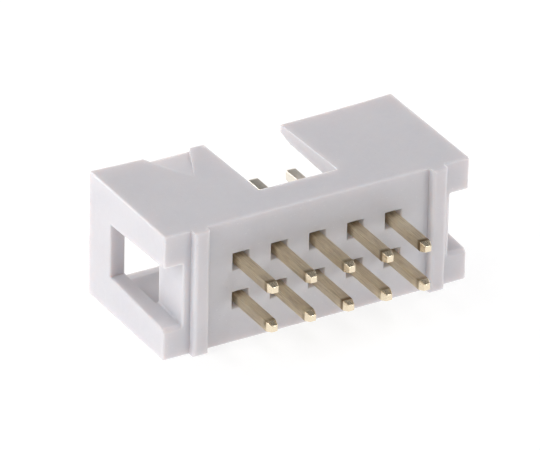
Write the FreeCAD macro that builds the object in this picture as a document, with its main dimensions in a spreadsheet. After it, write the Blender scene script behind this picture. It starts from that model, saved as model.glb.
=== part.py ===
import FreeCAD, Part
import math
import os

import Sketcher

# Straight box header for a ribbon-cable plug: ten square contacts in a moulded open box.
# It lies on its long wall. +X runs along the row of contacts, +Y is the way the plug
# leaves, and +Z points out of the wall with the keying slot. The solder tails point to -Y.
# The origin is the middle of the contact grid, in the plane where the stand-offs meet
# the circuit board. All sizes are in millimetres.

# name, value, what it is on the object
SIZES = (
    ("pitch", 2.54, "distance between neighbouring contacts"),
    ("columns", 5, "contacts along the header"),
    ("ranks", 2, "contacts across the header"),
    ("body_length", 20.32, "housing, end face to end face"),
    ("body_width", 8.15, "housing, outside of one long wall to the other"),
    ("body_depth", 8.96, "housing, board face to rim"),
    ("straight_depth", 2.78, "housing's straight stretch behind the board face"),
    ("edge_round", 0.12, "rounding of the outer edges and the windows' outlines"),
    ("wall_bow", 0.2, "how far the slotted wall dips at mid-rim"),
    ("standoff_rise", 0.55, "gap that the stand-offs keep to the board"),
    ("standoff_width", 0.99, "stand-off rib, measured along the header"),
    ("standoff_inset", 1.75, "end face to the outer side of a rib"),
    ("standoff_round", 0.22, "rounding of the ribs' edges"),
    ("floor_thickness", 2.78, "board face to the floor of the plug cavity"),
    ("floor_length", 18.2, "cavity length at its floor"),
    ("floor_width", 6.05, "cavity width at its floor"),
    ("mouth_length", 18.36, "cavity length near the rim"),
    ("mouth_width", 6.67, "cavity width near the rim"),
    ("cavity_round", 0.25, "radius in the cavity's upright corners"),
    ("lead_in", 0.2, "lead-in round the inside of the rim, taken off the wall"),
    ("lead_in_depth", 1.0, "lead-in, rim to where the wall goes on straight"),
    ("slot_width", 5.2, "keying slot along the header"),
    ("slot_depth", 6.55, "keying slot, rim to its closed end"),
    ("slot_root", 3.0, "middle plane to where the slot's cut begins"),
    ("window_reach", 6.38, "end window, board face to its closed end"),
    ("window_open", 4.06, "end window's width at the board face"),
    ("window_shut", 3.44, "end window's width at its closed end"),
    ("window_sink", 1.26, "end face to the bottom of the window's cut"),
    ("window_round", 0.12, "radius where the window's sides meet the base"),
    ("window_ease", 0.24, "eased corner of the window's lower side at the board face"),
    ("mark_width", 3.2, "first-contact triangle at the rim"),
    ("mark_length", 3.4, "first-contact triangle, rim to point"),
    ("mark_floor", 0.43, "triangle's floor below the wall's top plane, at the rim"),
    ("mark_end", 0.08, "triangle's floor below the wall's top plane, at its point"),
    ("pocket_side", 1.12, "square recess round each contact, at the board face"),
    ("pocket_base", 0.7, "the same recess at its floor"),
    ("pocket_depth", 0.72, "recess, board face to its floor"),
    ("pin_side", 0.64, "square section of a contact"),
    ("pin_round", 0.05, "rounding of a contact's long edges"),
    ("tail_reach", 3.4, "solder tail, board plane to its end"),
    ("tail_taper", 0.45, "tapered length at the end of a tail"),
    ("blade_reach", 8.3, "mating blade, board plane to its end"),
    ("blade_taper", 0.25, "tapered length at the end of a blade"),
    ("tip_side", 0.4, "flat left at each end of a contact"),
)

# Places that several features share, as expressions on the sheet. CLEAR is how far a cut
# starts or ends outside the material.
RIM = "(sizes.standoff_rise + sizes.body_depth)"
BOARD_FACE = "sizes.standoff_rise"
FLOOR = "(sizes.standoff_rise + sizes.floor_thickness)"
HALF_WIDTH = "sizes.body_width / 2"
HALF_LENGTH = "sizes.body_length / 2"
CLEAR = "1"

# A sketch's origin in constraints, and how close two coordinates must be to count as equal
ORIGIN = (-1, 1)
NEAR = 0.01


def write_sheet(document):
    """Puts every driving dimension into its own named cell."""
    sheet = document.addObject("Spreadsheet::Sheet", "sizes")
    for row, (alias, value, meaning) in enumerate(SIZES, start=1):
        sheet.set(f"A{row}", meaning)
        sheet.set(f"B{row}", str(value))
        sheet.setAlias(f"B{row}", alias)
    document.recompute()


def bind(item, expressions):
    """Ties properties or named constraints of an item to expressions on the sheet."""
    for target, expression in expressions.items():
        item.setExpression(target, expression)


def datum(body, role):
    """One of the body's own origin planes or axes."""
    return next(part for part in body.Origin.OriginFeatures if part.Role == role)


def new_sketch(body, name, role, offset, across="0", up="0"):
    """A sketch on an origin plane, moved along the plane's normal and within the plane."""
    sketch = body.newObject("Sketcher::SketchObject", name)
    sketch.AttachmentSupport = [(datum(body, role), "")]
    sketch.MapMode = "FlatFace"
    bind(sketch, {
        "AttachmentOffset.Base.x": across,
        "AttachmentOffset.Base.y": up,
        "AttachmentOffset.Base.z": offset,
    })
    return sketch


def drive(sketch, kind, places, name, expression):
    """Adds a dimension to a sketch and drives it from the sheet."""
    value = float(sketch.evalExpression(expression))
    index = sketch.addConstraint(Sketcher.Constraint(kind, *places, value))
    sketch.renameConstraint(index, name)
    sketch.setExpression(f"Constraints.{name}", expression)


def polygon(sketch, corners):
    """A closed outline whose corners are each placed by two expressions."""
    points = [
        FreeCAD.Vector(float(sketch.evalExpression(x)), float(sketch.evalExpression(y)), 0)
        for x, y in corners
    ]
    first, count = sketch.GeometryCount, len(points)
    for index, point in enumerate(points):
        sketch.addGeometry(Part.LineSegment(point, points[(index + 1) % count]), False)
    for index, (x, y) in enumerate(corners):
        line, following = first + index, first + (index + 1) % count
        sketch.addConstraint(Sketcher.Constraint("Coincident", line, 2, following, 1))
        drive(sketch, "DistanceX", (*ORIGIN, line, 1), f"corner_{line}_x", x)
        drive(sketch, "DistanceY", (*ORIGIN, line, 1), f"corner_{line}_y", y)


def centred_rectangle(sketch, width, height):
    """A rectangle centred on the sketch's own origin."""
    polygon(sketch, (
        (f"-({width}) / 2", f"-({height}) / 2"),
        (f"({width}) / 2", f"-({height}) / 2"),
        (f"({width}) / 2", f"({height}) / 2"),
        (f"-({width}) / 2", f"({height}) / 2"),
    ))


def bowed_rectangle(sketch, width, height, bow):
    """A centred rectangle whose upper side dips in an arc towards the middle."""
    half, rise, dip = (
        float(sketch.evalExpression(f"({size}) / {share}"))
        for size, share in ((width, 2), (height, 2), (bow, 1))
    )
    radius = (half * half + dip * dip) / (2 * dip)
    swing = math.asin(half / radius)
    left_low, right_low = FreeCAD.Vector(-half, -rise, 0), FreeCAD.Vector(half, -rise, 0)
    left_high, right_high = FreeCAD.Vector(-half, rise, 0), FreeCAD.Vector(half, rise, 0)
    circle = Part.Circle(FreeCAD.Vector(0, rise - dip + radius, 0), FreeCAD.Vector(0, 0, 1), radius)
    base, right, arc, left = 0, 1, 2, 3
    sketch.addGeometry(Part.LineSegment(left_low, right_low), False)
    sketch.addGeometry(Part.LineSegment(right_low, right_high), False)
    sketch.addGeometry(Part.ArcOfCircle(circle, -math.pi / 2 - swing, -math.pi / 2 + swing), False)
    sketch.addGeometry(Part.LineSegment(left_high, left_low), False)
    for joint in ((base, 2, right, 1), (right, 2, arc, 2), (arc, 1, left, 1), (left, 2, base, 1)):
        sketch.addConstraint(Sketcher.Constraint("Coincident", *joint))
    sketch.addConstraint(Sketcher.Constraint("Horizontal", base))
    sketch.addConstraint(Sketcher.Constraint("Vertical", right))
    sketch.addConstraint(Sketcher.Constraint("Vertical", left))
    sketch.addConstraint(Sketcher.Constraint("Equal", left, right))
    drive(sketch, "DistanceX", (*ORIGIN, base, 2), "half_width", f"({width}) / 2")
    drive(sketch, "DistanceX", (base, 1, base, 2), "width", width)
    drive(sketch, "DistanceY", (*ORIGIN, base, 2), "base_drop", f"-({height}) / 2")
    drive(sketch, "DistanceY", (right, 1, right, 2), "height", height)
    drive(sketch, "Radius", (arc,), "bow_radius",
          f"(({width}) ^ 2 / 4 + ({bow}) ^ 2) / (2 * ({bow}))")


def rounded_square(sketch, side, corner):
    """A square centred on the sketch's origin, with its four corners rounded."""
    half = float(sketch.evalExpression(f"({side}) / 2"))
    radius = float(sketch.evalExpression(corner))
    inner = half - radius
    turns = ((1, -1), (1, 1), (-1, 1), (-1, -1))
    for quarter, (x, y) in enumerate(turns):
        start = FreeCAD.Rotation(FreeCAD.Vector(0, 0, 1), 90 * quarter)
        side_start = start.multVec(FreeCAD.Vector(-inner, -half, 0))
        side_end = start.multVec(FreeCAD.Vector(inner, -half, 0))
        centre = FreeCAD.Vector(x * inner, y * inner, 0)
        circle = Part.Circle(centre, FreeCAD.Vector(0, 0, 1), radius)
        first = math.radians(90 * quarter - 90)
        sketch.addGeometry(Part.LineSegment(side_start, side_end), False)
        sketch.addGeometry(Part.ArcOfCircle(circle, first, first + math.pi / 2), False)
    for quarter in range(4):
        line, arc, following = 2 * quarter, 2 * quarter + 1, (2 * quarter + 2) % 8
        sketch.addConstraint(Sketcher.Constraint("Tangent", line, 2, arc, 1))
        sketch.addConstraint(Sketcher.Constraint("Tangent", arc, 2, following, 1))
        sketch.addConstraint(Sketcher.Constraint("Vertical" if quarter % 2 else "Horizontal", line))
        if quarter:
            sketch.addConstraint(Sketcher.Constraint("Equal", 1, arc))
    sketch.addConstraint(Sketcher.Constraint("Symmetric", 1, 3, 5, 3, *ORIGIN))
    drive(sketch, "Radius", (1,), "corner", corner)
    drive(sketch, "DistanceX", (6, 1, 2, 1), "width", side)
    drive(sketch, "DistanceY", (0, 1, 4, 1), "height", side)


def add_loft(body, kind, name, sketches):
    """A straight-sided loft through sketches, added to the body or cut from it."""
    loft = body.newObject(kind, name)
    loft.Profile = sketches[0]
    loft.Sections = sketches[1:]
    loft.Ruled = True
    return loft


def add_extrusion(body, kind, name, sketch, length, backwards=False):
    """A pad or pocket of a sketch; backwards turns it to the other side of the sketch."""
    feature = body.newObject(kind, name)
    feature.Profile = sketch
    feature.Reversed = backwards
    bind(feature, {"Length": length})
    return feature


def round_edges(document, body, name, radius, wanted):
    """Rounds the edges of the body so far for which wanted(edge) is true."""
    document.recompute()
    base = body.Tip
    names = [
        f"Edge{index}"
        for index, edge in enumerate(base.Shape.Edges, start=1)
        if wanted(edge)
    ]
    rounding = body.newObject("PartDesign::Fillet", name)
    rounding.Base = (base, names)
    bind(rounding, {"Radius": radius})
    print(f"{name}: {len(names)} edges")


def reach(edge, axis):
    """Lowest and highest coordinate of an edge's ends along one axis."""
    values = [getattr(vertex.Point, axis) for vertex in edge.Vertexes]
    return min(values), max(values)


def lies_at(edge, axis, value):
    """Whether both ends of an edge have this coordinate."""
    return all(abs(end - value) < NEAR for end in reach(edge, axis))


def lies_on_either(edge, axis, distance):
    """Whether an edge lies at this distance from the middle, on either side."""
    return lies_at(edge, axis, distance) or lies_at(edge, axis, -distance)


def build_block(body):
    """The outer block: straight behind the board face, then out to the dipped rim."""
    face = new_sketch(body, "board_face_outline", "XZ_Plane", f"-({BOARD_FACE})")
    centred_rectangle(face, "sizes.body_length", "sizes.body_width")
    add_extrusion(body, "PartDesign::Pad", "board_end", face, "sizes.straight_depth", True)
    waist_place = f"-({BOARD_FACE} + sizes.straight_depth)"
    waist = new_sketch(body, "waist_outline", "XZ_Plane", waist_place)
    centred_rectangle(waist, "sizes.body_length", "sizes.body_width")
    rim = new_sketch(body, "rim_outline", "XZ_Plane", f"-{RIM}")
    bowed_rectangle(rim, "sizes.body_length", "sizes.body_width", "sizes.wall_bow")
    add_loft(body, "PartDesign::AdditiveLoft", "walls", [waist, rim])


def build_standoffs(body):
    """Two ribs across the board face that hold the header off the board."""
    outline = new_sketch(body, "standoff_outline", "XZ_Plane", "0")
    outer = f"({HALF_LENGTH} - sizes.standoff_inset)"
    inner = f"({outer} - sizes.standoff_width)"
    for side in ("-", ""):
        polygon(outline, (
            (f"{side}{inner}", f"-{HALF_WIDTH}"),
            (f"{side}{outer}", f"-{HALF_WIDTH}"),
            (f"{side}{outer}", HALF_WIDTH),
            (f"{side}{inner}", HALF_WIDTH),
        ))
    add_extrusion(body, "PartDesign::Pad", "standoffs", outline, BOARD_FACE, True)


def cut_windows(document, body, size):
    """A tapering window through each end wall, open towards the board, with round corners."""
    outline = new_sketch(body, "window_outline", "YZ_Plane", f"{HALF_LENGTH} - sizes.window_sink")
    start = f"({BOARD_FACE} - {CLEAR})"
    end = f"({BOARD_FACE} + sizes.window_reach)"
    polygon(outline, (
        (start, "-sizes.window_open / 2 - sizes.window_ease"),
        (BOARD_FACE, "-sizes.window_open / 2 - sizes.window_ease"),
        (f"({BOARD_FACE} + sizes.window_ease)", "-sizes.window_open / 2"),
        (end, "-sizes.window_shut / 2"),
        (end, "sizes.window_shut / 2"),
        (start, "sizes.window_open / 2"),
    ))
    window = add_extrusion(body, "PartDesign::Pocket", "end_window", outline,
                           f"sizes.window_sink + {CLEAR}", True)
    mirror = body.newObject("PartDesign::Mirrored", "end_windows")
    mirror.Originals = [window]
    mirror.MirrorPlane = (datum(body, "YZ_Plane"), [""])
    body.Tip = mirror
    base_x = size["body_length"] / 2 - size["window_sink"]

    def inner_corner(edge):
        low, high = reach(edge, "y")
        return lies_on_either(edge, "x", base_x) and high - low > size["window_round"]

    round_edges(document, body, "window_corners", "sizes.window_round", inner_corner)


def round_outside(document, body, size):
    """Rounds the ribs first, then the outer edges of the block and of its windows."""
    rise = size["standoff_rise"]
    rim = rise + size["body_depth"]
    half_length, half_width = size["body_length"] / 2, size["body_width"] / 2
    base_x = half_length - size["window_sink"]

    def on_rib_front(edge):
        return lies_at(edge, "y", 0)

    def on_block(edge):
        if lies_at(edge, "y", rim) or lies_on_either(edge, "x", half_length):
            return True
        low, high = reach(edge, "x")
        on_window = min(abs(low), abs(high)) > base_x - NEAR
        return lies_at(edge, "y", rise) and (on_window or lies_on_either(edge, "z", half_width))

    round_edges(document, body, "standoff_rounding", "sizes.standoff_round", on_rib_front)
    round_edges(document, body, "outer_rounding", "sizes.edge_round", on_block)


def cut_cavity(document, body, size):
    """The plug cavity: drafted walls, a sloped lead-in and rounded upright corners."""
    sunk = "(sizes.lead_in_depth / (sizes.body_depth - sizes.floor_thickness))"
    neck_length = f"(sizes.mouth_length - (sizes.mouth_length - sizes.floor_length) * {sunk})"
    neck_width = f"(sizes.mouth_width - (sizes.mouth_width - sizes.floor_width) * {sunk})"
    floor = new_sketch(body, "cavity_floor", "XZ_Plane", f"-{FLOOR}")
    centred_rectangle(floor, "sizes.floor_length", "sizes.floor_width")
    mouth = new_sketch(body, "cavity_mouth", "XZ_Plane", f"-{RIM}")
    bowed_rectangle(mouth, "sizes.mouth_length", "sizes.mouth_width", "sizes.wall_bow")
    add_loft(body, "PartDesign::SubtractiveLoft", "cavity", [floor, mouth])
    neck = new_sketch(body, "lead_in_neck", "XZ_Plane", f"-({RIM} - sizes.lead_in_depth)")
    bowed_rectangle(neck, neck_length, neck_width, f"sizes.wall_bow * (1 - {sunk})")
    flare = new_sketch(body, "lead_in_flare", "XZ_Plane", f"-{RIM}")
    bowed_rectangle(flare, "sizes.mouth_length + 2 * sizes.lead_in",
                    "sizes.mouth_width + 2 * sizes.lead_in", "sizes.wall_bow")
    add_loft(body, "PartDesign::SubtractiveLoft", "lead_in", [neck, flare])

    inside_x = (size["body_length"] + size["mouth_length"]) / 4
    inside_z = (size["body_width"] + size["mouth_width"]) / 4

    def upright_corner(edge):
        low, high = reach(edge, "y")
        middle = edge.CenterOfMass
        return (high - low > size["lead_in_depth"] - NEAR
                and size["floor_length"] / 2 - NEAR < abs(middle.x) < inside_x
                and size["floor_width"] / 2 - size["wall_bow"] < abs(middle.z) < inside_z)

    round_edges(document, body, "cavity_corners", "sizes.cavity_round", upright_corner)


def cut_slot(body):
    """The keying slot, open at the rim and cut right through the upper wall."""
    outline = new_sketch(body, "slot_outline", "XY_Plane", "sizes.slot_root")
    closed_end = f"({RIM} - sizes.slot_depth)"
    polygon(outline, (
        ("-sizes.slot_width / 2", closed_end),
        ("sizes.slot_width / 2", closed_end),
        ("sizes.slot_width / 2", f"({RIM} + {CLEAR})"),
        ("-sizes.slot_width / 2", f"({RIM} + {CLEAR})"),
    ))
    length = f"{HALF_WIDTH} - sizes.slot_root + {CLEAR}"
    add_extrusion(body, "PartDesign::Pocket", "keying_slot", outline, length, True)


def cut_contact_grid(document, body):
    """One recess with sloping sides and one press-fit hole, repeated over the contact grid."""
    first_column = "-(sizes.columns - 1) * sizes.pitch / 2"
    first_rank = "-(sizes.ranks - 1) * sizes.pitch / 2"
    face = f"-({BOARD_FACE})"
    outside = f"-({BOARD_FACE} - {CLEAR})"
    recess_outline = new_sketch(body, "recess_outline", "XZ_Plane", face, first_column, first_rank)
    centred_rectangle(recess_outline, "sizes.pocket_side", "sizes.pocket_side")
    recess = add_extrusion(body, "PartDesign::Pocket", "contact_recess", recess_outline,
                           "sizes.pocket_depth")
    narrowing = "(sizes.pocket_side - sizes.pocket_base) / 2"
    bind(recess, {"TaperAngle": f"-atan({narrowing} / sizes.pocket_depth)"})
    hole_outline = new_sketch(body, "hole_outline", "XZ_Plane", outside, first_column, first_rank)
    rounded_square(hole_outline, "sizes.pin_side", "sizes.pin_round")
    hole = add_extrusion(body, "PartDesign::Pocket", "contact_hole", hole_outline,
                         f"sizes.floor_thickness + 2 * {CLEAR}")
    document.recompute()
    grid = body.newObject("PartDesign::MultiTransform", "contact_grid")
    grid.Originals = [recess, hole]
    rows = []
    for name, axis, count in (("along", "X_Axis", "columns"), ("across", "Z_Axis", "ranks")):
        row = body.newObject("PartDesign::LinearPattern", f"repeat_{name}")
        row.Direction = (datum(body, axis), [""])
        row.Mode = "Spacing"
        bind(row, {"Occurrences": f"sizes.{count}", "Offset": "sizes.pitch"})
        rows.append(row)
    grid.Transformations = rows
    body.Tip = grid


def cut_mark(body):
    """The sunk triangle at the first contact, whose floor rises to the wall at its point."""
    outline = new_sketch(body, "mark_outline", "XY_Plane", f"{HALF_WIDTH} - sizes.mark_floor",
                         "-(sizes.columns - 1) * sizes.pitch / 2", RIM)
    fall = "atan((sizes.mark_floor - sizes.mark_end) / sizes.mark_length)"
    tilt_axis, placeholder = FreeCAD.Vector(1, 0, 0), -1
    outline.AttachmentOffset.Rotation = FreeCAD.Rotation(tilt_axis, placeholder)
    bind(outline, {"AttachmentOffset.Rotation.Angle": f"-{fall}"})
    polygon(outline, (
        ("-sizes.mark_width / 2", "0"),
        ("0", "-sizes.mark_length"),
        ("sizes.mark_width / 2", "0"),
    ))
    add_extrusion(body, "PartDesign::Pocket", "first_contact_mark", outline,
                  f"sizes.mark_floor + {CLEAR}", True)


def build_housing(document, size):
    """The moulded housing, one piece."""
    body = document.addObject("PartDesign::Body", "housing")
    build_block(body)
    build_standoffs(body)
    cut_windows(document, body, size)
    round_outside(document, body, size)
    cut_cavity(document, body, size)
    cut_slot(body)
    cut_contact_grid(document, body)
    cut_mark(body)
    return body


def build_contact(document, name, column, rank):
    """One square contact with a tapered tip at each end, at its place in the grid."""
    body = document.addObject("PartDesign::Body", name)
    across = f"({column} - (sizes.columns - 1) / 2) * sizes.pitch"
    up = f"({rank} - (sizes.ranks - 1) / 2) * sizes.pitch"
    stations = (
        ("tail_end", "-sizes.tail_reach", "sizes.tip_side"),
        ("tail_shoulder", "-sizes.tail_reach + sizes.tail_taper", "sizes.pin_side"),
        ("blade_shoulder", "sizes.blade_reach - sizes.blade_taper", "sizes.pin_side"),
        ("blade_end", "sizes.blade_reach", "sizes.tip_side"),
    )
    sections = []
    for station, place, side in stations:
        section = new_sketch(body, f"{name}_{station}", "XZ_Plane", f"-({place})", across, up)
        rounded_square(section, side, "sizes.pin_round")
        sections.append(section)
    add_loft(body, "PartDesign::AdditiveLoft", f"{name}_bar", sections)
    return body


def check(document, bodies):
    """Stops if any object failed or any sub-part isn't one sound solid."""
    for item in document.Objects:
        if "Invalid" in item.State or "Error" in item.State:
            raise RuntimeError(f"{item.Name} failed: {item.State}")
    for body in bodies:
        shape = body.Shape
        if shape.isNull() or not shape.isValid() or len(shape.Solids) != 1:
            raise RuntimeError(f"{body.Label} isn't one sound solid")


def main():
    document = FreeCAD.newDocument("box_header")
    write_sheet(document)
    size = {alias: value for alias, value, meaning in SIZES}
    bodies = [build_housing(document, size)]
    for rank in range(size["ranks"]):
        for column in range(size["columns"]):
            number = size["ranks"] * (column + 1) - rank
            bodies.append(build_contact(document, f"contact_{number}", column, rank))
    document.recompute()
    check(document, bodies)
    os.makedirs("parts", exist_ok=True)
    for body in bodies:
        body.Shape.exportStep(f"parts/{body.Label}.step")
        box = body.Shape.optimalBoundingBox()
        print(f"{body.Label}: {box.XLength:.2f} x {box.YLength:.2f} x {box.ZLength:.2f} mm, "
              f"{body.Shape.Volume:.2f} mm3")


main()
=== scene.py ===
# %% [markdown]
# # Dressing a box header
# The object is the small socket that a ribbon cable plugs into on a circuit board: an open box
# moulded in light grey plastic, with ten square, gold-plated contacts through its floor. Here it
# lies on its side, so the solder tails point at us. Its shape is already built and measured in
# CAD, so this lesson loads that model as a fixed frame and adds what CAD leaves out: softened
# edges, the finish of the plastic, coined and plated contacts, light and a camera.

import math

import bmesh
import bpy
from mathutils import Matrix, Vector


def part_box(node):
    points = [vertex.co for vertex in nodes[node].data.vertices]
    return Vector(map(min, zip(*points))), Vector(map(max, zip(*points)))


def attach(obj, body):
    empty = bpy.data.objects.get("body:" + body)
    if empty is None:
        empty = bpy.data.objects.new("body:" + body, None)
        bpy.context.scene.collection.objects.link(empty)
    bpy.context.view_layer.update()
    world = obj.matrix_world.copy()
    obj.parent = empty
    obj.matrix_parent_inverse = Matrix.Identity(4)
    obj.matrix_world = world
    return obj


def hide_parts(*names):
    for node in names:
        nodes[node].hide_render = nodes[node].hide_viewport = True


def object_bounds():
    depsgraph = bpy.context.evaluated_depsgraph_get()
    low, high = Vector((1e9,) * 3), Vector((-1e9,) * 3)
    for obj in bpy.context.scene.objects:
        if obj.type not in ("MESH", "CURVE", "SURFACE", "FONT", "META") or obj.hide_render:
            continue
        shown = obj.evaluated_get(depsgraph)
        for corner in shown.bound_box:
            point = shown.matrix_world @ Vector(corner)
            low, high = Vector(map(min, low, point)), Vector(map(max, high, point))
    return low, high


MM = 0.001

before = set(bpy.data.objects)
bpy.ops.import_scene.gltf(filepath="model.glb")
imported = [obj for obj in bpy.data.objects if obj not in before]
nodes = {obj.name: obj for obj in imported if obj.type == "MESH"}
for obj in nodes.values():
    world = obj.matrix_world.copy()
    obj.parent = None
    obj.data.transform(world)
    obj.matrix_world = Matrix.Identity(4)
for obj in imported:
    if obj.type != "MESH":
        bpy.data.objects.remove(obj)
cad_box = [list(corner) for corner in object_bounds()]
print("CAD box in mm:", [[round(value / MM, 2) for value in corner] for corner in cad_box])

# %% [markdown]
# ## Writing node trees as sums
# Both the finishes and the contacts come from node trees. Adding nodes one by one hides what they
# work out, so one small class wraps a socket and lets Python's own signs add the Math nodes. Then
# `1 - mask` is a line of arithmetic, and every other node comes from one method.

# %% A socket that can be added and multiplied
SIGNS = {"add": "ADD", "sub": "SUBTRACT", "mul": "MULTIPLY", "truediv": "DIVIDE"}


class Wire:
    """One socket of a node tree. With no socket it stands for the tree alone."""

    def __init__(self, tree, socket=None):
        self.tree = tree
        self.socket = socket

    def plug(self, target):
        """Links this socket into an input."""
        self.tree.links.new(self.socket, target)

    def node(self, kind, settings=None, inputs=None, output=0):
        """Adds a node: its settings, then the values or links of its input sockets."""
        made = self.tree.nodes.new(kind)
        for name, value in (settings or {}).items():
            setattr(made, name, value)
        for name, value in (inputs or {}).items():
            if isinstance(value, Wire):
                value.plug(made.inputs[name])
            else:
                made.inputs[name].default_value = value
        return Wire(self.tree, made.outputs[output])

    def math(self, operation, *values):
        """Adds a Math node whose inputs are these numbers or sockets."""
        return self.node("ShaderNodeMath", {"operation": operation}, dict(enumerate(values)))


def overload(sign, operation):
    """Adds one arithmetic sign to the class, in both orders."""
    setattr(Wire, f"__{sign}__", lambda self, other: self.math(operation, self, other))
    setattr(Wire, f"__r{sign}__", lambda self, other: self.math(operation, other, self))


for sign, operation in SIGNS.items():
    overload(sign, operation)
print("signs on a socket:", ", ".join(SIGNS))

# %% [markdown]
# ## What the finishes have in common
# A finish starts from the place on the piece, in millimetres, so that every grain size in this
# file can be read as a real size. Noise of a given grain is then one call, and a colour that
# wanders between two tones is another. The Mix node keeps its colours in sockets that share their
# names with those for numbers and vectors, so those sockets are told apart by their place.

# %% Shared steps of a finish
MIX_FACTOR, MIX_FIRST, MIX_SECOND = 0, 6, 7
MIXED_COLOUR = 2


def new_finish(name, **constants):
    """A material with a bare Principled shader, and the place on the piece in millimetres."""
    material = bpy.data.materials.new(name)
    material.use_nodes = True
    shader = material.node_tree.nodes["Principled BSDF"]
    for socket, value in constants.items():
        shader.inputs[socket.replace("_", " ")].default_value = value
    graph = Wire(material.node_tree)
    place = graph.node("ShaderNodeTexCoord", output="Object")
    place = graph.node("ShaderNodeVectorMath", {"operation": "SCALE"}, {0: place, "Scale": 1 / MM})
    return material, shader, graph, place


def noise(place, grain_mm, detail=2.0, stretch=(1.0, 1.0, 1.0)):
    """Smooth noise from 0 to 1 whose blotches are about grain_mm across."""
    scaled = place.node("ShaderNodeVectorMath", {"operation": "MULTIPLY"}, {0: place, 1: stretch})
    return place.node("ShaderNodeTexNoise", inputs={
        "Vector": scaled, "Scale": 1 / grain_mm, "Detail": detail,
    })


def mask(value, low, high):
    """0 below low, 1 above high, and a soft step between them."""
    return value.node("ShaderNodeMapRange", {"interpolation_type": "SMOOTHSTEP"}, {
        "Value": value, "From Min": low, "From Max": high,
    })


def blend(factor, first, second):
    """The first colour where factor is 0, the second where it is 1."""
    inputs = {MIX_FACTOR: factor}
    for socket, colour in ((MIX_FIRST, first), (MIX_SECOND, second)):
        inputs[socket] = colour if isinstance(colour, Wire) else (*colour, 1.0)
    return factor.node("ShaderNodeMix", {"data_type": "RGBA"}, inputs, output=MIXED_COLOUR)


def bump(height, depth_mm):
    """A normal that leans as if the surface rose by depth_mm where height is 1."""
    return height.node("ShaderNodeBump", inputs={
        "Height": height, "Strength": 1.0, "Distance": depth_mm * MM,
    })

# %% [markdown]
# ## The moulded plastic
# The housing is injection moulded in a light grey, slightly violet plastic with a satin skin.
# Four things keep it from looking like a flat colour. The tool's spark-eroded steel leaves a
# fine, even grain. The melt cools in broad, faint flow clouds, with a finer mottling on them. And
# the short glass fibres in the plastic show as tiny pale and dark flecks. All four are noise at
# their own grain, mixed into colour, roughness and the lean of the surface.
#
# Pale plastic also lets light in: it wanders under the skin for about a millimetre, so edges glow
# a little and narrow recesses aren't black. That is the shader's subsurface part.

# %% Finish of the housing
GREYS = ((0.575, 0.562, 0.590), (0.590, 0.577, 0.602))
MOTTLED_GREY = (0.610, 0.596, 0.616)
PALE_FLECK = (0.74, 0.73, 0.74)
DARK_FLECK = (0.43, 0.41, 0.42)
CLOUD_MM = 3.2
MOTTLE_MM = 0.42
GRAIN_MM = 0.055
FLECK_MM = 0.16
SKIN_DEPTH_MM = 0.004


def moulded_plastic():
    """Light grey satin plastic: flow clouds, mottling, flecks and a spark-eroded grain."""
    material, shader, graph, place = new_finish(
        "moulded_plastic", IOR=1.52, Specular_IOR_Level=0.42, Subsurface_Weight=0.75,
        Subsurface_Radius=(1.0, 0.8, 0.7), Subsurface_Scale=1.1 * MM)
    clouds = noise(place, CLOUD_MM, detail=3.0)
    mottle = noise(place, MOTTLE_MM, detail=4.0)
    grain = noise(place, GRAIN_MM, detail=2.0)
    fleck = noise(place, FLECK_MM, detail=1.0, stretch=(1.0, 2.4, 1.6))

    tone = blend(mask(clouds, 0.3, 0.7), *GREYS)
    tone = blend(mask(mottle, 0.42, 0.62) * 0.25, tone, MOTTLED_GREY)
    tone = blend(mask(fleck, 0.69, 0.78) * 0.4, tone, PALE_FLECK)
    tone = blend(mask(1 - fleck, 0.70, 0.80) * 0.35, tone, DARK_FLECK)
    tone.plug(shader.inputs["Base Color"])

    roughness = 0.33 + 0.08 * clouds + 0.08 * (grain - 0.5)
    roughness.plug(shader.inputs["Roughness"])
    bump(grain * 0.6 + mottle * 0.4, SKIN_DEPTH_MM).plug(shader.inputs["Normal"])
    return material


housing_finish = moulded_plastic()
print("finish:", housing_finish.name, len(housing_finish.node_tree.nodes), "nodes")

# %% [markdown]
# ## The housing
# The CAD model already has the box, its drafted cavity, slot and windows. A real mould has no
# perfectly sharp corner though, and the thin bright line along each edge is what tells the eye
# that this is moulded plastic. So the piece is a copy of the CAD mesh: its triangles are joined
# into flat faces again, and a Bevel modifier softens its sharp edges.

# %% Joined copy of a CAD node
FLAT = math.radians(0.6)
SAME_PLACE = 0.001 * MM


def joined_copy(node, name):
    """A copy of a CAD node's mesh with its loose triangles merged into flat faces."""
    piece = bpy.data.objects.new(name, node.data.copy())
    bpy.context.scene.collection.objects.link(piece)
    shape = bmesh.new()
    shape.from_mesh(piece.data)
    bmesh.ops.remove_doubles(shape, verts=shape.verts, dist=SAME_PLACE)
    bmesh.ops.dissolve_limit(shape, angle_limit=FLAT, verts=shape.verts, edges=shape.edges)
    shape.to_mesh(piece.data)
    shape.free()
    return piece


def settle(piece):
    """Turns a piece and its modifiers into one plain mesh."""
    depsgraph = bpy.context.evaluated_depsgraph_get()
    mesh = bpy.data.meshes.new_from_object(piece.evaluated_get(depsgraph), depsgraph=depsgraph)
    piece.modifiers.clear()
    piece.data = mesh
    return piece

# %% [markdown]
# ## How wide a bevel may be
# One width for all edges would fold the mesh over itself where a long edge ends among the small
# facets of a rounded corner, and the modifier's own clamp would shrink every bevel to suit the
# tightest spot. So each sharp edge gets a weight of its own: full softness where both its ends
# have room, and less where they haven't.

# %% Give each sharp edge its weight
EDGE_SOFTNESS = 0.065 * MM
SHARP = math.radians(24)
ROOM_SHARE = 0.4


def room_at(edge):
    """The length of the shortest edge that meets this one at either end."""
    return min(other.calc_length() for corner in edge.verts for other in corner.link_edges)


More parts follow.
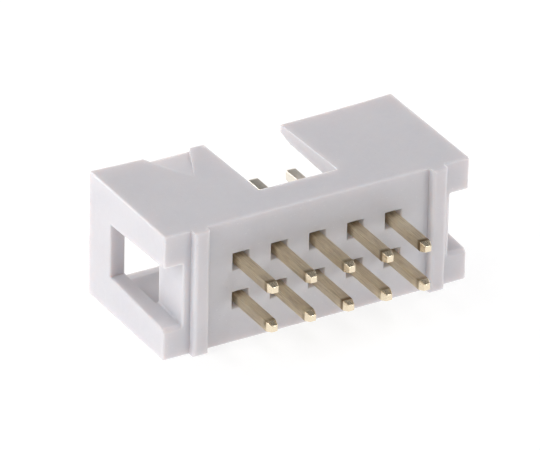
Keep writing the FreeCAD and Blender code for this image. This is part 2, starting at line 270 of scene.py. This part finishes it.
def weigh_sharp_edges(piece):
    """Stores bevel weights, and returns the length of edge that gets the full softness."""
    shape = bmesh.new()
    shape.from_mesh(piece.data)
    weight = shape.edges.layers.float.new("bevel_weight_edge")
    full_length = 0.0
    for edge in shape.edges:
        if edge.is_manifold and edge.calc_face_angle() > SHARP:
            edge[weight] = min(1.0, ROOM_SHARE * room_at(edge) / EDGE_SOFTNESS)
            if edge[weight] == 1.0:
                full_length += edge.calc_length()
    shape.to_mesh(piece.data)
    shape.free()
    return full_length

# %% [markdown]
# ## Bevel, fit and shade
# In the ribs' inner corners a bevel adds plastic and stands out of the box that CAD measured, by a
# few thousandths of a millimetre, so the bevelled piece is fitted back to that box. The Weighted
# Normal modifier then lets the large faces decide how the new strips are shaded, so that flat
# walls stay flat up to the bevel.

# %% Soften the housing's edges
BEVEL_STEPS = 3
LARGE_FACES_WIN = 100


def extent(piece):
    """The lowest and the highest corner of the box round a mesh."""
    columns = list(zip(*(vertex.co for vertex in piece.data.vertices)))
    return Vector(min(column) for column in columns), Vector(max(column) for column in columns)


def fit_box(piece, low, high):
    """Stretches a piece to a box, and returns by how much it was off along each axis."""
    found_low, found_high = extent(piece)
    for vertex in piece.data.vertices:
        for axis in range(3):
            share = (vertex.co[axis] - found_low[axis]) / (found_high[axis] - found_low[axis])
            vertex.co[axis] = low[axis] + share * (high[axis] - low[axis])
    return (found_high - found_low) - (high - low)


def soft_housing():
    """The CAD housing with softened edges, in its finish."""
    low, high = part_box("housing")
    piece = joined_copy(nodes["housing"], "moulded_housing")
    print("fully softened edge in mm:", round(weigh_sharp_edges(piece) / MM, 1))
    softening = piece.modifiers.new("soft_edges", "BEVEL")
    softening.width = EDGE_SOFTNESS
    softening.segments = BEVEL_STEPS
    softening.limit_method = "WEIGHT"
    softening.use_clamp_overlap = False
    settle(piece)
    excess = fit_box(piece, low, high)
    print("fitted to the CAD box, off by mm:", [round(value / MM, 4) for value in excess])
    piece.data.shade_smooth()
    flattening = piece.modifiers.new("flat_faces", "WEIGHTED_NORMAL")
    flattening.mode = "FACE_AREA"
    flattening.weight = LARGE_FACES_WIN
    settle(piece)
    piece.data.materials.clear()
    piece.data.materials.append(housing_finish)
    return piece


housing = soft_housing()
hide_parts("housing")
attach(housing, "root")
print("housing:", len(housing.data.polygons), "faces")

# %% [markdown]
# ## The plating
# The contacts are drawn square wire, plated with nickel and a flash of gold. Gold this thin isn't
# a mirror: it keeps the wire's draw lines, which run lengthwise, and browns a little in patches.
# The dark and pale stripes along those lines are painted shade and a painted gleam.
# The tails' tips are coined in a die, which irons the lines away. Their paler colour is a painted
# highlight, and the darker shoulder behind them is painted shade. The blades inside the box are
# plated paler. All of that follows the place along the contact, so the first pairs of numbers say,
# in millimetres from the board, where each stretch begins and is complete. Each contact also has
# its own slight tone, stored on the mesh as an attribute by the Geometry Nodes tree further down.

# %% Finish of the contacts
TONE = "contact_tone"
SHOULDER = (2.55, 2.85)
COINED_TIP = (2.92, 3.02)
BLADE = (3.0, 4.0)
GOLDS = ((0.74, 0.63, 0.43), (0.64, 0.53, 0.38))
OWN_GOLD = (0.74, 0.64, 0.47)
# Painted shade and painted gleam for the stripes along the draw lines.
LINE_SHADE = (0.42, 0.33, 0.22)
LINE_GLEAM = (0.92, 0.82, 0.62)
# Painted shade for the shoulder behind the coined tips.
SHOULDER_SHADE_GOLD = (0.20, 0.13, 0.06)
# Painted highlight for the coined tips.
COINED_HIGHLIGHT_GOLD = (0.90, 0.78, 0.59)
BLADE_GOLD = (0.92, 0.88, 0.82)
PORE_BROWN = (0.40, 0.30, 0.20)
LINE_MM = 0.05
PATCH_MM = 0.8
PORE_MM = 0.07
LINE_DEPTH_MM = 0.004


def gold_plating():
    """Thin gold over drawn wire, which changes along the contact."""
    material, shader, graph, place = new_finish("gold_plating", Metallic=1.0)
    lines = noise(place, LINE_MM, detail=3.0, stretch=(1.0, 0.04, 1.0))
    patches = noise(place, PATCH_MM, detail=3.0, stretch=(1.0, 0.6, 1.0))
    pores = noise(place, PORE_MM, detail=1.0)
    own_tone = graph.node("ShaderNodeAttribute", {"attribute_name": TONE}, output="Fac")

    along = graph.node("ShaderNodeSeparateXYZ", inputs={0: place}, output="Y")
    coined = mask(0 - along, *COINED_TIP)
    # Where painted shade falls: the shoulder behind the coined tip, in patches.
    shoulder_shade = mask(0 - along, *SHOULDER) * (1 - coined) * mask(patches, 0.30, 0.52)
    mating = mask(along, *BLADE)

    tone = blend(mask(patches, 0.35, 0.7), *GOLDS)
    tone = blend(own_tone * 0.5, tone, OWN_GOLD)
    # Painted shade and painted gleam along the draw lines; the lines' relief is in the bump below.
    tone = blend(mask(lines, 0.5, 0.72) * 0.6, tone, LINE_SHADE)
    tone = blend(mask(1 - lines, 0.52, 0.72) * 0.5, tone, LINE_GLEAM)
    # Painted shade at the shoulder, deeper on some contacts than on others.
    tone = blend(shoulder_shade * (0.50 + 0.45 * own_tone), tone, SHOULDER_SHADE_GOLD)
    # Painted highlight: the coined tip is coloured paler and brighter. Its smoothness is real.
    tone = blend(coined * 0.9, tone, COINED_HIGHLIGHT_GOLD)
    tone = blend(mating * 0.7, tone, BLADE_GOLD)
    tone = blend(mask(pores, 0.68, 0.76) * 0.5, tone, PORE_BROWN)
    tone.plug(shader.inputs["Base Color"])

    roughness = 0.22 + 0.12 * patches + 0.10 * lines - 0.06 * coined
    roughness.plug(shader.inputs["Roughness"])
    height = (lines * 0.8 + pores * 0.2) * (1 - coined)
    bump(height, LINE_DEPTH_MM).plug(shader.inputs["Normal"])
    return material


contact_finish = gold_plating()
print("finish:", contact_finish.name, len(contact_finish.node_tree.nodes), "nodes")

# %% [markdown]
# ## The contacts
# Ten equal bars on a grid are a job for Geometry Nodes: one bar is a rounded square swept along a
# line, thinner towards both ends, and the grid places it. The ends are coined, so they taper with
# four flats and a soft shoulder, longer on the solder tails than on the blades that the plug
# meets. All sizes are inputs with names, and those that CAD has measured are read from its boxes.

# %% Inputs of the contact tree
first_low, first_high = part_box("contact_1")
last_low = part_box("contact_10")[0]
COLUMNS = 5
RANKS = 2
CONTACTS = [f"contact_{number}" for number in range(1, COLUMNS * RANKS + 1)]

contact_inputs = {
    "Pitch": ("NodeSocketFloat", (last_low.x - first_low.x) / (COLUMNS - 1)),
    "Columns": ("NodeSocketInt", COLUMNS),
    "Ranks": ("NodeSocketInt", RANKS),
    "Tail End": ("NodeSocketFloat", first_low.y),
    "Blade End": ("NodeSocketFloat", first_high.y),
    "Side": ("NodeSocketFloat", (first_high - first_low).x),
    "Corner": ("NodeSocketFloat", 0.035 * MM),
    "Tail Taper": ("NodeSocketFloat", 0.45 * MM),
    "Blade Taper": ("NodeSocketFloat", 0.25 * MM),
    "Tip Share": ("NodeSocketFloat", 0.62),
    "Seed": ("NodeSocketInt", 7),
    "Finish": ("NodeSocketMaterial", contact_finish),
}
print("pitch in mm:", round(contact_inputs["Pitch"][1] / MM, 3))

# %% [markdown]
# ## One bar, ten times
# A curve's points carry the bar's cross-section, so each point is a station with a place and a
# width. The place is counted from the nearer end and cubed, which crowds the stations where the
# shape changes and spares them in the straight middle. The width grows along the taper. A smooth
# minimum then joins it to the full width without a crease, and a second one rounds the very end.

# %% One bar and its grid
STATIONS = 56
CORNER_STEPS = 3
END_ROUND = 0.015 * MM
END_SHARE = 0.94
SHOULDER_BLEND = 0.1
END_BLEND = 0.3
RANDOM_FLOAT = 1


def tapered_bar(graph, given):
    """A rounded square swept from the tail's end to the blade's end."""
    start, end = given["Tail End"], given["Blade End"]
    middle = graph.node("GeometryNodeSplineParameter", output="Index") * (2 / (STATIONS - 1)) - 1
    share = 1 - middle.math("ABSOLUTE", middle)
    from_end = (end - start) / 2 * share * share * share
    on_blade = middle.math("GREATER_THAN", middle, 0.0)
    slope = given["Tail Taper"] + (given["Blade Taper"] - given["Tail Taper"]) * on_blade
    taper = from_end.math("SMOOTH_MIN", from_end / slope, 1.0, SHOULDER_BLEND)
    nose = from_end.math("SMOOTH_MIN", from_end / END_ROUND, 1.0, END_BLEND)
    width = given["Tip Share"] + (1 - given["Tip Share"]) * taper
    width = width * (END_SHARE + (1 - END_SHARE) * nose)

    lengthwise = middle.math("SIGN", middle) * ((end - start) / 2 - from_end) + (end + start) / 2
    station = graph.node("ShaderNodeCombineXYZ", inputs={"Y": lengthwise})
    line = graph.node("GeometryNodeCurvePrimitiveLine", inputs={
        "Start": (0, -1, 0), "End": (0, 1, 0),
    })
    line = graph.node("GeometryNodeResampleCurve", inputs={"Curve": line, "Count": STATIONS})
    line = graph.node("GeometryNodeSetPosition", inputs={"Geometry": line, "Position": station})

    square = graph.node("GeometryNodeCurvePrimitiveQuadrilateral",
                        inputs={"Width": given["Side"], "Height": given["Side"]})
    square = graph.node("GeometryNodeFilletCurve", {"mode": "POLY"}, {
        "Curve": square, "Radius": given["Corner"], "Count": CORNER_STEPS,
    })
    return graph.node("GeometryNodeCurveToMesh", inputs={
        "Curve": line, "Profile Curve": square, "Scale": width, "Fill Caps": True,
    })


def contact_grid(graph, given):
    """The bar at every place of the grid, each with a tone of its own."""
    spread = {
        "Size X": (given["Columns"] - 1) * given["Pitch"],
        "Size Y": (given["Ranks"] - 1) * given["Pitch"],
        "Vertices X": given["Columns"],
        "Vertices Y": given["Ranks"],
    }
    places = graph.node("GeometryNodeMeshGrid", inputs=spread)
    places = graph.node("GeometryNodeTransform", inputs={
        "Geometry": places, "Rotation": (math.radians(90), 0, 0),
    })
    copies = graph.node("GeometryNodeInstanceOnPoints", inputs={
        "Points": places, "Instance": tapered_bar(graph, given),
    })
    own_tone = graph.node("FunctionNodeRandomValue", {"data_type": "FLOAT"}, {
        "Seed": given["Seed"],
    }, output=RANDOM_FLOAT)
    copies = graph.node("GeometryNodeStoreNamedAttribute", {"domain": "INSTANCE"}, {
        "Geometry": copies, "Name": TONE, "Value": own_tone,
    })
    return graph.node("GeometryNodeRealizeInstances", inputs={"Geometry": copies})

# %% [markdown]
# ## From tree to piece
# The next two helpers know nothing about contacts. The other fills in the values and keeps the
# plain mesh, because the model's frame takes finished meshes and no modifiers.

# %% Build the tree and bake it to a mesh
SHARP_CORNER = math.radians(35)


def geometry_tree(name, wanted, build):
    """A Geometry Nodes tree with named inputs, ending in Set Material."""
    tree = bpy.data.node_groups.new(name, "GeometryNodeTree")
    tree.interface.new_socket("Geometry", in_out="OUTPUT", socket_type="NodeSocketGeometry")
    for label, (kind, _) in wanted.items():
        tree.interface.new_socket(label, in_out="INPUT", socket_type=kind)
    source = tree.nodes.new("NodeGroupInput")
    given = {label: Wire(tree, source.outputs[label]) for label in wanted}
    graph = Wire(tree)
    finished = graph.node("GeometryNodeSetMaterial", inputs={
        "Geometry": build(graph, given), "Material": given["Finish"],
    })
    finished.plug(tree.nodes.new("NodeGroupOutput").inputs["Geometry"])
    return tree


def grown(name, tree, wanted):
    """The plain mesh that a tree makes from these inputs."""
    piece = bpy.data.objects.new(name, bpy.data.meshes.new(name))
    bpy.context.scene.collection.objects.link(piece)
    modifier = piece.modifiers.new(name, "NODES")
    modifier.node_group = tree
    for item in tree.interface.items_tree:
        if item.in_out == "INPUT":
            modifier[item.identifier] = wanted[item.name][1]
    return settle(piece)


contact_tree = geometry_tree("contact_grid", contact_inputs, contact_grid)
contacts = grown("plated_contacts", contact_tree, contact_inputs)
contacts.data.set_sharp_from_angle(angle=SHARP_CORNER)
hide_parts(*CONTACTS)
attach(contacts, "root")
print("contacts:", len(contacts.data.polygons), "faces")

# %% [markdown]
# ## Floor and surroundings
# The picture has a plain white ground. A white floor that is lit until it clips would also wash
# out the grey plastic, so the light stays at a plain level and the floor gets its white from what
# the camera, mirrors and glass see of it. A share of it stays a matt surface, so the header still
# casts a soft shadow. Towards the object the floor acts like the milky glass of a photo table: it
# glows gently from below, which is why the lower half of the board face isn't in the dark.

# %% Floor
SEEN = ("Is Camera Ray", "Is Glossy Ray", "Is Transmission Ray")
LIT_GREY = 0.92
SEEN_GREY = 0.32
SEEN_GLOW = 0.76


def seen_directly(graph):
    """1 for rays that show the background itself, 0 for light on its way to the object."""
    first, *others = [graph.node("ShaderNodeLightPath", output=name) for name in SEEN]
    for other in others:
        first = first.math("MAXIMUM", first, other)
    return first


def matt_glow(graph, grey, strength):
    """A matt grey that also glows a little, as milky glass over a lamp does."""
    matt = graph.node("ShaderNodeBsdfDiffuse", inputs={"Color": (grey, grey, grey, 1.0)})
    glow = graph.node("ShaderNodeEmission", inputs={"Strength": strength})
    return graph.node("ShaderNodeAddShader", inputs={0: matt, 1: glow})


def white_ground(lift):
    """White to the eye with a soft shadow, and a gently glowing sheet to the object."""
    material = bpy.data.materials.new("white_ground")
    material.use_nodes = True
    tree = material.node_tree
    tree.nodes.remove(tree.nodes["Principled BSDF"])
    graph = Wire(tree)
    as_light = matt_glow(graph, LIT_GREY, lift)
    as_picture = matt_glow(graph, SEEN_GREY, SEEN_GLOW)
    shown = graph.node("ShaderNodeMixShader", inputs={
        0: seen_directly(graph), 1: as_light, 2: as_picture,
    })
    shown.plug(tree.nodes["Material Output"].inputs["Surface"])
    return material


def ground(half_side, lift):
    """A square sheet under the header's lower wall, with its half side in metres."""
    mesh = bpy.data.meshes.new("ground")
    square = ((-1, -1), (1, -1), (1, 1), (-1, 1))
    corners = [(x * half_side, y * half_side, cad_box[0][2]) for x, y in square]
    mesh.from_pydata(corners, [], [(0, 1, 2, 3)])
    mesh.materials.append(white_ground(lift))
    sheet = bpy.data.objects.new("ground", mesh)
    bpy.context.scene.collection.objects.link(sheet)


ground(half_side=1.5, lift=0.64)
print("floor at", round(cad_box[0][2] / MM, 3), "mm")

# %% [markdown]
# The sky is even and low for matt surfaces. Metal shows what it mirrors, so the gold needs
# something to see: a white horizon, which the tails' left faces and tips catch, and a dim
# ceiling, which turns their top faces brownish as in the picture.

# %% Surroundings
CEILING = (0.10, 0.45)


def pale_world(light, shown):
    """Even light for matt surfaces, and a white horizon under a dim ceiling for shiny ones.

    Both are pairs of strengths, low down and overhead. CEILING says how high the overhead one
    begins and is complete, as a share of straight up.
    """
    world = bpy.data.worlds.new("pale_surroundings")
    world.use_nodes = True
    bpy.context.scene.world = world
    tree = world.node_tree
    graph = Wire(tree)
    direction = graph.node("ShaderNodeTexCoord", output="Generated")
    height = graph.node("ShaderNodeSeparateXYZ", inputs={0: direction}, output="Z")
    upwards = mask(height, *CEILING)
    lit = light[0] + (light[1] - light[0]) * upwards
    reflected = shown[0] + (shown[1] - shown[0]) * upwards
    strength = lit + (reflected - lit) * seen_directly(graph)
    strength.plug(tree.nodes["Background"].inputs["Strength"])
    tree.nodes["Background"].inputs["Color"].default_value = (1.0, 1.0, 1.0, 1.0)


pale_world(light=(0.375, 0.38), shown=(1.0, 0.20))

# %% [markdown]
# ## Light
# In the picture the left end is the brightest face, the top comes next and the board face is the
# darkest. A large soft lamp to the left gives that order. A second one behind the header shines
# over the rim and through the slot into the cavity, and a third on the right keeps that side from
# dying away. The last is small and stands in front, just where the rounded edge between top and
# board face mirrors it towards the camera as a fine bright line.

# %% Lamps
MIDDLE = (0, 4, 0)
LAMPS = (
    ("left_softbox", (-300, -20, 220), 200, 0.53),
    ("back_softbox", (-110, 300, 100), 200, 0.60),
    ("right_softbox", (285, 40, 140), 200, 0.28),
    ("front_softbox", (170, -200, 310), 90, 0.25),
)


def lamp(name, place_mm, aim_mm, width_mm, watts):
    """A round area lamp at one point that faces another."""
    light = bpy.data.lights.new(name, "AREA")
    light.shape = "DISK"
    light.size = width_mm * MM
    light.energy = watts
    holder = bpy.data.objects.new(name, light)
    place = Vector(place_mm) * MM
    turn = (place - Vector(aim_mm) * MM).to_track_quat("Z", "Y").to_matrix()
    holder.matrix_world = Matrix.Translation(place) @ turn.to_4x4()
    bpy.context.scene.collection.objects.link(holder)


for name, place_mm, width_mm, watts in LAMPS:
    lamp(name, place_mm, MIDDLE, width_mm, watts)
print("lamps:", len(LAMPS))

# %% [markdown]
# ## Camera
# A camera was fitted to the corners of the header in the photograph. It is far away with a long
# lens, turned 30.6 degrees to the left end and looking down at 29.3 degrees. Its turn is written
# as three rotations of the object in front of a fixed camera, which is how it was measured, and
# the camera's own matrix is the inverse of that. DISTANCE and SLIDE are in millimetres: how far
# the header is, and how far it sits to the right of and below the middle of the picture.

# %% Place the camera
IMAGE_WIDTH = 540
FOCAL_PIXELS = 7234
SENSOR_WIDTH = 36
NEAREST_M = 0.02
FARTHEST_M = 20
TURN = math.radians(30.56)
TILT = math.radians(29.27)
ROLL = math.radians(1.27)
DISTANCE = 417.1
SLIDE = (3.000, -2.185)


def fitted_camera():
    """A camera that sees the header as the photograph does."""
    lens = bpy.data.cameras.new("fitted_camera")
    lens.sensor_width = SENSOR_WIDTH
    lens.lens = FOCAL_PIXELS / IMAGE_WIDTH * SENSOR_WIDTH
    lens.clip_start = NEAREST_M
    lens.clip_end = FARTHEST_M
    turned = (Matrix.Rotation(ROLL, 3, "Y") @ Matrix.Rotation(TILT, 3, "X")
              @ Matrix.Rotation(TURN, 3, "Z"))
    right, forward, up = turned
    place = -(right * SLIDE[0] + forward * DISTANCE + up * SLIDE[1]) * MM
    camera = bpy.data.objects.new("fitted_camera", lens)
    axes = Matrix((right, up, -forward)).transposed()
    camera.matrix_world = Matrix.Translation(place) @ axes.to_4x4()
    bpy.context.scene.collection.objects.link(camera)
    bpy.context.scene.camera = camera
    return camera


camera = fitted_camera()
bpy.context.scene.view_settings.view_transform = "Standard"
print("camera in mm:", [round(value / MM, 1) for value in camera.matrix_world.translation])

# %% [markdown]
# ## Finish
# The dressed header has to be as large as the CAD one, and the last call brings the scene up to
# date.

# %% Update the scene
bpy.context.view_layer.update()
